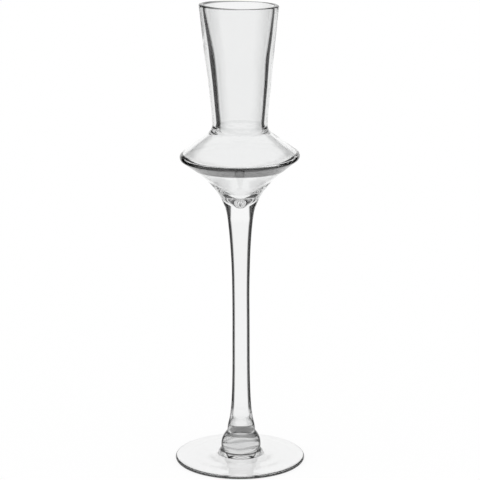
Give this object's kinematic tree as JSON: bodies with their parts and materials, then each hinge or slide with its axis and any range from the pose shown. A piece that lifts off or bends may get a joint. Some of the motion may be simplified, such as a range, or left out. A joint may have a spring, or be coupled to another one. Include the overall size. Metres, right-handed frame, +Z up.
{
  "type": "glass vase",
  "caption": "Tall clear glass vase: flared tubular cup above a double-cone bulge, on a slim solid stem with a ball knop and a round foot.",
  "frame": {"origin": "on the table, under the middle of the foot", "axes": "+Z up along the axis that the whole vase is turned about; +X and +Y are alike, because the vase is round"},
  "size_m": [0.1138, 0.1138, 0.3999],
  "materials": {
    "foot_glass": "fire-polished clear glass, faint rings from spinning",
    "knop_glass": "fire-polished clear glass, solid",
    "stem_glass": "fire-polished clear glass, drawn lengthwise",
    "bowl_glass": "fire-polished clear glass, slightly wavy from blowing by hand"
  },
  "bodies": {
    "root": {"foot": "foot_glass", "knop": "knop_glass", "stem": "stem_glass", "bowl": "bowl_glass"}
  },
  "joints": []
}
